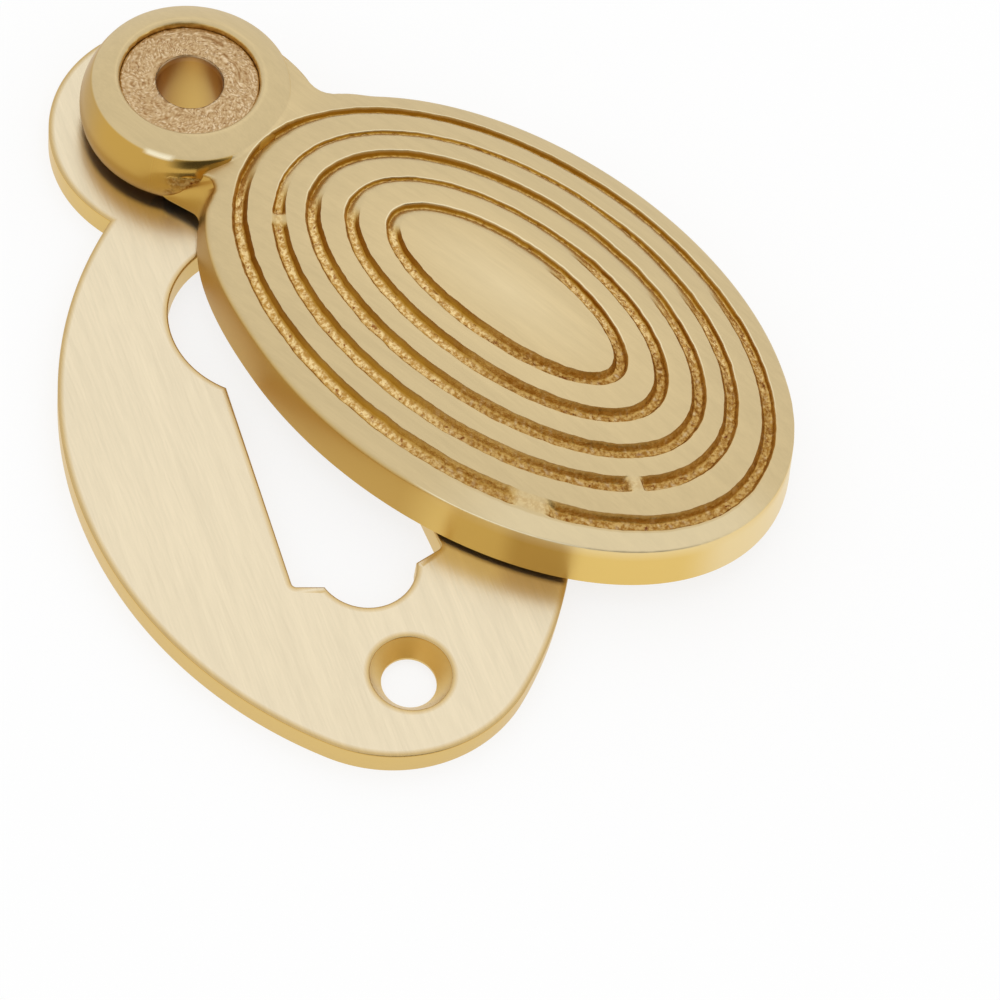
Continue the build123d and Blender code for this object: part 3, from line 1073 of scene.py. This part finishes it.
def boss_profile(s):
    """The boss from its foot up the full flank, over its edge and top and down into the recess and bore."""
    top = s.bottom + s.boss_height
    slope = math.tan(s.boss_slope)
    shoulder_z = top - slope * (s.shoulder_radius - s.recess_radius)
    foot = Vector((s.boss_foot, s.bottom))
    bulge = Vector((s.boss_radius + FLANK_BULGE, s.bottom + BULGE_HEIGHT * (shoulder_z - s.bottom)))
    shoulder = Vector((s.shoulder_radius, shoulder_z))
    profile = [(s.bore_radius, s.bottom)]
    for i in range(FLANK_RINGS):
        t = i / FLANK_RINGS
        point = foot * (1 - t) ** 2 + bulge * 2 * t * (1 - t) + shoulder * t**2
        profile.append((point.x, point.y))
    profile.append((s.shoulder_radius + SHOULDER_EDGE * SHOULDER_LEAN, shoulder_z - SHOULDER_EDGE))
    inner = s.recess_radius + s.recess_round
    for i in range(FACE_RINGS + 1):
        part = i / FACE_RINGS
        radius = s.shoulder_radius - SHOULDER_EDGE + (inner - s.shoulder_radius + SHOULDER_EDGE) * part
        crown = FACE_CROWN * math.sin(part * math.pi)
        profile.append((radius, top - slope * (radius - s.recess_radius) + crown))
    floor = top - s.recess_depth
    inner_z = profile[-1][1]
    for sin, cos in quarter(RECESS_RINGS)[1:]:
        profile.append((inner - s.recess_round * sin, inner_z - s.recess_round * (1 - cos)))
    profile += [
        (s.recess_radius, floor),
        (s.bore_radius, floor),
        (s.bore_radius, s.bottom),
    ]
    return profile, shoulder_z


def boss_finish(s, vert, shoulder_z):
    """The finish of a point of the boss: a satin top, a flank that is polished on its open side."""
    out = math.hypot(vert.co.x, vert.co.y)
    degrees = degrees_round(vert.co.y, vert.co.x)
    if out < s.recess_radius + RECESS_MARGIN:
        return RECESS_FINISH
    at_edge = abs(out - s.shoulder_radius) < SHOULDER_MARGIN
    # Painted highlight along part of the shoulder's edge
    worn = plateau(degrees, *BOSS_HIGHLIGHT) if at_edge else 0.0
    if out < s.shoulder_radius:
        return *SATIN, worn
    satin = FLANK_SATIN * plateau(degrees, *BOSS_SATIN)
    is_low = vert.co.z < s.bottom + ROUGH_HEIGHT * (shoulder_z - s.bottom)
    rough = plateau(degrees, *BOSS_ROUGH) if is_low else 0.0
    rough *= clamp(ROUGH_START + ROUGH_GAIN * lumps(vert.co, ROUGH_SIZE))
    return satin, rough, FLANK_BROWN, worn, plateau(degrees, *BOSS_GLOSSY)


def cover_boss(bm, s, layers):
    """The boss: a turned ring with a sloping satin top, a full flank and a recess."""
    old = set(bm.verts)
    profile, shoulder_z = boss_profile(s)
    turned(bm, profile, BOSS_STEPS)
    new = [v for v in bm.verts if v not in old]
    bmesh.ops.remove_doubles(bm, verts=new, dist=MERGE_DISTANCE)
    for vert in bm.verts:
        if vert in old:
            continue
        finish = boss_finish(s, vert, shoulder_z)
        set_finish(vert, layers, finish)
        out = Vector((vert.co.x, vert.co.y, 0))
        rough = finish[FINISH_LAYERS.index("cast")]
        push = min(lumps(vert.co, PIT_SIZE), 0.0) * PIT_DEPTH * rough
        vert.co += out.normalized() * push
        over_recess = (out.length - s.recess_radius) / (s.shoulder_radius - s.recess_radius)
        height = (vert.co.z - s.bottom) / (shoulder_z - s.bottom)
        vert.co.x += s.boss_lean * min(clamp(over_recess), clamp(height))


def cover_mesh(s):
    """The cover, swung open by its angle."""
    bm = bmesh.new()
    layers = finish_layers(bm)
    cover_oval(bm, s, layers)
    cover_boss(bm, s, layers)
    bmesh.ops.recalc_face_normals(bm, faces=bm.faces)
    bmesh.ops.rotate(bm, verts=bm.verts, cent=(0, 0, 0), matrix=Matrix.Rotation(s.open_angle, 3, "Z"))
    return bm


# Finishes

def feed(socket, value):
    """Links a node's input to an output socket, or sets it to a plain value."""
    if isinstance(value, bpy.types.NodeSocket):
        socket.id_data.links.new(value, socket)
    else:
        socket.default_value = value


def add_node(tree, kind, inputs=None, **values):
    """A new node with its settings, and with its inputs fed by name or number."""
    node = tree.nodes.new(kind)
    for name, value in values.items():
        setattr(node, name, value)
    for key, value in (inputs or {}).items():
        feed(node.inputs[key], value)
    return node


def new_group(name, inputs, outputs):
    """A shader node group with float sockets, its input node and its output node."""
    group = bpy.data.node_groups.new(name, "ShaderNodeTree")
    for label, default in inputs:
        socket = group.interface.new_socket(label, in_out="INPUT", socket_type="NodeSocketFloat")
        socket.default_value = default
    for label in outputs:
        group.interface.new_socket(label, in_out="OUTPUT", socket_type="NodeSocketFloat")
    return group, add_node(group, "NodeGroupInput"), add_node(group, "NodeGroupOutput")


def add_noise(tree, vector, scale, detail, roughness):
    """A noise texture on a vector socket, with its scale from a socket."""
    inputs = {"Vector": vector, "Scale": scale, "Detail": detail, "Roughness": roughness}
    return add_node(tree, "ShaderNodeTexNoise", inputs).outputs["Fac"]


def spread(tree, value, low, high):
    """A value stretched so that low becomes none and high becomes one, with soft ends."""
    inputs = {"Value": value, "From Min": low, "From Max": high}
    return add_node(tree, "ShaderNodeMapRange", inputs, interpolation_type="SMOOTHSTEP").outputs["Result"]


def scaled(tree, socket, factor):
    """A value times a factor."""
    return add_node(tree, "ShaderNodeMath", {0: socket, 1: factor}, operation="MULTIPLY").outputs["Value"]


def brushing_group():
    """Fine parallel scratches: Lines is their height, Tone a slower change of tone along them."""
    group, given, out = new_group("Brush lines", (("Angle", 0.0), ("Fineness", 8000.0)), ("Lines", "Tone"))
    fineness = given.outputs["Fineness"]
    place = add_node(group, "ShaderNodeTexCoord").outputs["Object"]
    inputs = {"Vector": place, "Angle": given.outputs["Angle"]}
    spun = add_node(group, "ShaderNodeVectorRotate", inputs, rotation_type="Z_AXIS").outputs["Vector"]

    def streaks(stretch, scale):
        inputs = {0: spun, 1: (1.0, stretch, 1.0)}
        squeezed = add_node(group, "ShaderNodeVectorMath", inputs, operation="MULTIPLY")
        return add_noise(group, squeezed.outputs["Vector"], scale, detail=3.0, roughness=0.65)

    feed(out.inputs["Lines"], streaks(stretch=0.06, scale=fineness))
    slow = streaks(stretch=0.05, scale=scaled(group, fineness, factor=0.2))
    feed(out.inputs["Tone"], spread(group, slow, low=0.25, high=0.75))
    return group


def casting_group():
    """Rough cast metal: Height of its grain, Tone of its random mottling with painted glints, and Specks of
    burnt sand.
    """
    group, given, out = new_group("Cast grain", (("Fineness", 3000.0),), ("Height", "Tone", "Specks"))
    fineness = given.outputs["Fineness"]
    place = add_node(group, "ShaderNodeTexCoord").outputs["Object"]
    feed(out.inputs["Height"], add_noise(group, place, fineness, detail=3.0, roughness=0.6))
    glints = add_noise(group, place, scaled(group, fineness, factor=1.3), detail=2.0, roughness=0.6)
    feed(out.inputs["Tone"], spread(group, glints, low=0.35, high=0.65))
    dirt = add_noise(group, place, scaled(group, fineness, factor=0.9), detail=2.0, roughness=0.5)
    feed(out.inputs["Specks"], spread(group, dirt, low=0.6, high=0.74))
    return group


def mix_colours(tree, factor, first, second, blend="MIX"):
    """A colour mix: the factor is a socket or a number, and each colour a socket or a plain colour."""
    sides = [side if isinstance(side, bpy.types.NodeSocket) else (*side, 1.0) for side in (first, second)]
    inputs = {0: factor, 6: sides[0], 7: sides[1]}
    return add_node(tree, "ShaderNodeMix", inputs, data_type="RGBA", blend_type=blend).outputs[2]


def mix_values(tree, factor, first, second):
    """A value mix: each of first and second is a socket or a plain number."""
    return add_node(tree, "ShaderNodeMix", {0: factor, 2: first, 3: second}, data_type="FLOAT").outputs[0]


def mix_shaders(tree, factor, first, second):
    """A mix of two shaders."""
    return add_node(tree, "ShaderNodeMixShader", {0: factor, 1: first, 2: second}).outputs["Shader"]


def empty_tree(owner):
    """The cleared node tree of a new material or world."""
    owner.use_nodes = True
    owner.node_tree.nodes.clear()
    return owner.node_tree


def shade(tone, factor):
    """A colour made brighter or darker by a factor."""
    return tuple(min(c * factor, 1.0) for c in tone)


class BrassFinish:
    """The looks of one piece's brass."""

    def __init__(self, name, face, polished, cast_dark, cast_pale, tint, burnt, worn):
        self.name = name
        self.face = tuple(face)
        self.polished = tuple(polished)
        self.cast_dark = tuple(cast_dark)
        self.cast_pale = tuple(cast_pale)
        self.tint = tuple(tint)
        self.burnt = tuple(burnt)
        self.worn = tuple(worn)
        self.brush_angle = 0.0
        self.face_roughness = 0.4
        self.polished_roughness = 0.34
        self.gloss_roughness = 0.12
        self.cast_roughness = 0.38
        self.cast_relief = 0.1 * MM
        self.cast_fineness = 3000.0
        self.brush_relief = 0.005 * MM
        self.brush_tone = 0.07


def brass(look):
    """Brass with satin faces, polished edges and rough cast parts, told apart by the piece's own values,
    which also paint highlights and shade into the colour.
    """
    groups = finish_groups()
    material = bpy.data.materials.new(look.name)
    tree = empty_tree(material)
    satin, cast, brown, worn, gloss = [
        add_node(tree, "ShaderNodeAttribute", attribute_name=name).outputs["Fac"] for name in FINISH_LAYERS
    ]
    brush = add_node(tree, "ShaderNodeGroup", node_tree=groups["brush"])
    feed(brush.inputs["Angle"], look.brush_angle)
    lines = brush.outputs["Lines"]
    grain = add_node(tree, "ShaderNodeGroup", node_tree=groups["cast"])
    feed(grain.inputs["Fineness"], look.cast_fineness)

    def brushed(mask, contrast):
        return mix_colours(tree, mask, shade(look.face, 1 - contrast), shade(look.face, 1 + contrast))

    slow = brushed(brush.outputs["Tone"], look.brush_tone)
    fine = brushed(lines, 2 * look.brush_tone)
    base = mix_colours(tree, satin, look.polished, mix_colours(tree, 0.5, slow, fine))
    glints = mix_colours(tree, grain.outputs["Tone"], look.cast_dark, look.cast_pale)
    rough = mix_colours(tree, grain.outputs["Specks"], glints, look.burnt)
    plain = mix_colours(tree, cast, base, rough)
    tinted = mix_colours(tree, brown, plain, look.tint, "MULTIPLY")
    roughness = mix_values(tree, satin, look.polished_roughness, look.face_roughness)
    roughness = mix_values(tree, gloss, roughness, look.gloss_roughness)
    smooth_height = mix_values(tree, satin, 0.0, scaled(tree, lines, look.brush_relief))
    cast_height = scaled(tree, grain.outputs["Height"], look.cast_relief)
    height = mix_values(tree, cast, smooth_height, cast_height)
    metal = add_node(tree, "ShaderNodeBsdfPrincipled", {
        "Metallic": 1.0,
        "Base Color": mix_colours(tree, worn, tinted, look.worn),
        "Roughness": mix_values(tree, cast, roughness, look.cast_roughness),
        "Normal": add_node(tree, "ShaderNodeBump", {"Distance": 1.0, "Height": height}).outputs["Normal"],
    })
    add_node(tree, "ShaderNodeOutputMaterial", {"Surface": metal.outputs["BSDF"]})
    return material


def finish_groups():
    """The shared effects, built once."""
    made = {g.name: g for g in bpy.data.node_groups}
    return {
        "brush": made.get("Brush lines") or brushing_group(),
        "cast": made.get("Cast grain") or casting_group(),
    }


# Operators that build the pieces

PLATE_ROUGHNESS = 0.26
HEAD_RELIEF = 0.06 * MM
HEAD_FINENESS = 3400.0


class ESCUTCHEON_OT_plate(bpy.types.Operator):
    """Build the back plate"""
    bl_idname = "escutcheon.plate"
    bl_label = "Back plate"

    def execute(self, context):
        s = context.scene.escutcheon_plate
        wall = s.wall_colour
        look = BrassFinish("plate brass", s.face_colour, wall, wall, wall, s.edge_tint, wall, wall)
        look.face_roughness = PLATE_ROUGHNESS
        bm = plate_mesh(s, context.scene.escutcheon_rivet)
        add_piece(bm, "plate", "back_plate", "plate", brass(look))
        return {"FINISHED"}


class ESCUTCHEON_OT_rivet(bpy.types.Operator):
    """Build the hollow rivet"""
    bl_idname = "escutcheon.rivet"
    bl_label = "Pivot rivet"

    def execute(self, context):
        s = context.scene.escutcheon_rivet
        bm = rivet_mesh(s, context.scene.escutcheon_plate, context.scene.escutcheon_cover)
        bore = s.bore_colour
        look = BrassFinish(
            "rivet brass", bore, bore, s.head_dark, s.head_pale, s.painted_shade_tint, s.scorch_colour, s.painted_highlight_colour
        )
        look.cast_relief = HEAD_RELIEF
        look.cast_fineness = HEAD_FINENESS
        add_piece(bm, "rivet", "pivot_rivet", "plate", brass(look))
        return {"FINISHED"}


class ESCUTCHEON_OT_cover(bpy.types.Operator):
    """Build the swing cover"""
    bl_idname = "escutcheon.cover"
    bl_label = "Swing cover"

    def execute(self, context):
        s = context.scene.escutcheon_cover
        look = BrassFinish(
            "cover brass", s.land_colour, s.wall_colour, s.groove_dark, s.groove_pale, s.brown_and_painted_shade_tint,
            s.scorch_colour, s.painted_highlight_colour,
        )
        look.brush_angle = -s.open_angle
        add_piece(cover_mesh(s), "cover", "swing_cover", "cover", brass(look))
        return {"FINISHED"}


# Stage

WHITE = (1.0, 1.0, 1.0)
FLOOR_HALF = 1.5
DIM_SIDE = Vector((-0.09, -0.98, 0.14)).normalized()
LAMP_SIZE = 0.35
LAMP_PLACE = Vector((0.18, 0.24, 0.5))
LAMP_AIM = Vector((0.01, -0.03, 0.0))
CAMERA_AIM = Vector((10.146 * MM, -35.488 * MM, PLATE_BOX[1].z))
SENSOR_WIDTH = 36.0
FOCAL_SHARE = 3.2
NEAR_CLIP = 0.01


def show_white(tree, seen, unseen):
    """Mixes two shaders: seen for what the camera, mirrors and glass look at, unseen for the rest."""
    path = add_node(tree, "ShaderNodeLightPath")
    total = path.outputs["Is Camera Ray"]
    for name in ("Is Glossy Ray", "Is Transmission Ray"):
        most = add_node(tree, "ShaderNodeMath", {0: total, 1: path.outputs[name]}, operation="MAXIMUM")
        total = most.outputs["Value"]
    return mix_shaders(tree, total, unseen, seen)


def floor_material(s):
    """Pale paper that keeps the soft shadow, is otherwise white to the eye and is clear from below."""
    material = bpy.data.materials.new("floor paper")
    tree = empty_tree(material)
    paper = add_node(tree, "ShaderNodeBsdfDiffuse", {"Color": (*s.floor_colour, 1.0)}).outputs["BSDF"]
    white = add_node(tree, "ShaderNodeEmission").outputs["Emission"]
    from_above = show_white(tree, mix_shaders(tree, s.floor_shade, white, paper), paper)
    clear = add_node(tree, "ShaderNodeBsdfTransparent").outputs["BSDF"]
    is_below = add_node(tree, "ShaderNodeNewGeometry").outputs["Backfacing"]
    add_node(tree, "ShaderNodeOutputMaterial", {"Surface": mix_shaders(tree, is_below, from_above, clear)})
    return material


def set_world(s):
    """White studio light from all around, with the dim side of the room behind the camera."""
    world = bpy.data.worlds.new("studio")
    tree = empty_tree(world)
    place = add_node(tree, "ShaderNodeTexCoord").outputs["Generated"]
    facing = add_node(tree, "ShaderNodeVectorMath", {0: place, 1: DIM_SIDE}, operation="DOT_PRODUCT")
    dim_part = spread(tree, facing.outputs["Value"], math.cos(s.dim_reach), math.cos(s.dim_reach / 3))
    tone = mix_colours(tree, dim_part, WHITE, (s.dim_level,) * 3)
    seen = add_node(tree, "ShaderNodeBackground", {"Color": tone, "Strength": 1.0})
    light = add_node(tree, "ShaderNodeBackground", {"Color": (*WHITE, 1.0), "Strength": s.sky_strength})
    sky = show_white(tree, seen.outputs["Background"], light.outputs["Background"])
    add_node(tree, "ShaderNodeOutputWorld", {"Surface": sky})
    bpy.context.scene.world = world


def add_floor(s):
    """The floor, just under the plate."""
    bm = bmesh.new()
    bmesh.ops.create_grid(bm, x_segments=1, y_segments=1, size=FLOOR_HALF)
    mesh = bpy.data.meshes.new("floor")
    bm.to_mesh(mesh)
    bm.free()
    mesh.materials.append(floor_material(s))
    floor = place_object("floor", mesh)
    floor.location.z = -s.floor_gap


def add_lamp(s):
    """One large soft lamp, high up behind the piece."""
    light = bpy.data.lights.new("softbox", "AREA")
    light.energy = s.lamp_power
    light.size = LAMP_SIZE
    lamp = place_object("softbox", light)
    lamp.location = LAMP_PLACE
    lamp.rotation_euler = (LAMP_AIM - LAMP_PLACE).to_track_quat("-Z", "Y").to_euler()


def add_camera(s):
    """The camera at the angle of the picture, with a lens as long as its share of the sensor's width."""
    look = Vector((
        math.sin(s.camera_turn) * math.cos(s.camera_rise),
        math.cos(s.camera_turn) * math.cos(s.camera_rise),
        -math.sin(s.camera_rise),
    ))
    data = bpy.data.cameras.new("camera")
    data.sensor_width = SENSOR_WIDTH
    data.lens = FOCAL_SHARE * SENSOR_WIDTH
    data.clip_start = NEAR_CLIP
    camera = place_object("camera", data)
    facing = look.to_track_quat("-Z", "Y").to_matrix() @ Matrix.Rotation(s.camera_roll, 3, "Z")
    camera.matrix_world = Matrix.Translation(CAMERA_AIM - look * s.camera_distance) @ facing.to_4x4()
    bpy.context.scene.camera = camera


class ESCUTCHEON_OT_stage(bpy.types.Operator):
    """Set up the floor, the light and the camera"""
    bl_idname = "escutcheon.stage"
    bl_label = "Stage"

    def execute(self, context):
        s = context.scene.escutcheon_stage
        add_floor(s)
        set_world(s)
        add_lamp(s)
        add_camera(s)
        context.scene.view_settings.view_transform = "Standard"
        return {"FINISHED"}


# Panel and start

class ESCUTCHEON_PT_panel(bpy.types.Panel):
    """Lists the steps that build the escutcheon"""
    bl_idname = "ESCUTCHEON_PT_panel"
    bl_label = "Escutcheon"
    bl_space_type = "VIEW_3D"
    bl_region_type = "UI"
    bl_category = "Escutcheon"

    def draw(self, context):
        for operator in OPERATORS:
            self.layout.operator(operator.bl_idname)
        for group in SETTINGS:
            settings = getattr(context.scene, group)
            box = self.layout.box()
            for name in settings.__annotations__:
                box.prop(settings, name)


OPERATORS = (ESCUTCHEON_OT_plate, ESCUTCHEON_OT_rivet, ESCUTCHEON_OT_cover, ESCUTCHEON_OT_stage)
SETTINGS = {
    "escutcheon_plate": PlateSettings,
    "escutcheon_rivet": RivetSettings,
    "escutcheon_cover": CoverSettings,
    "escutcheon_stage": StageSettings,
}


def register():
    for cls in (*SETTINGS.values(), *OPERATORS, ESCUTCHEON_PT_panel):
        bpy.utils.register_class(cls)
    for name, cls in SETTINGS.items():
        setattr(bpy.types.Scene, name, bpy.props.PointerProperty(type=cls))


def unregister():
    for name in SETTINGS:
        delattr(bpy.types.Scene, name)
    for cls in (ESCUTCHEON_PT_panel, *OPERATORS, *SETTINGS.values()):
        bpy.utils.unregister_class(cls)


def main():
    register()
    bpy.ops.escutcheon.plate()
    bpy.ops.escutcheon.rivet()
    bpy.ops.escutcheon.cover()
    bpy.ops.escutcheon.stage()


if __name__ == "__main__":
    main()
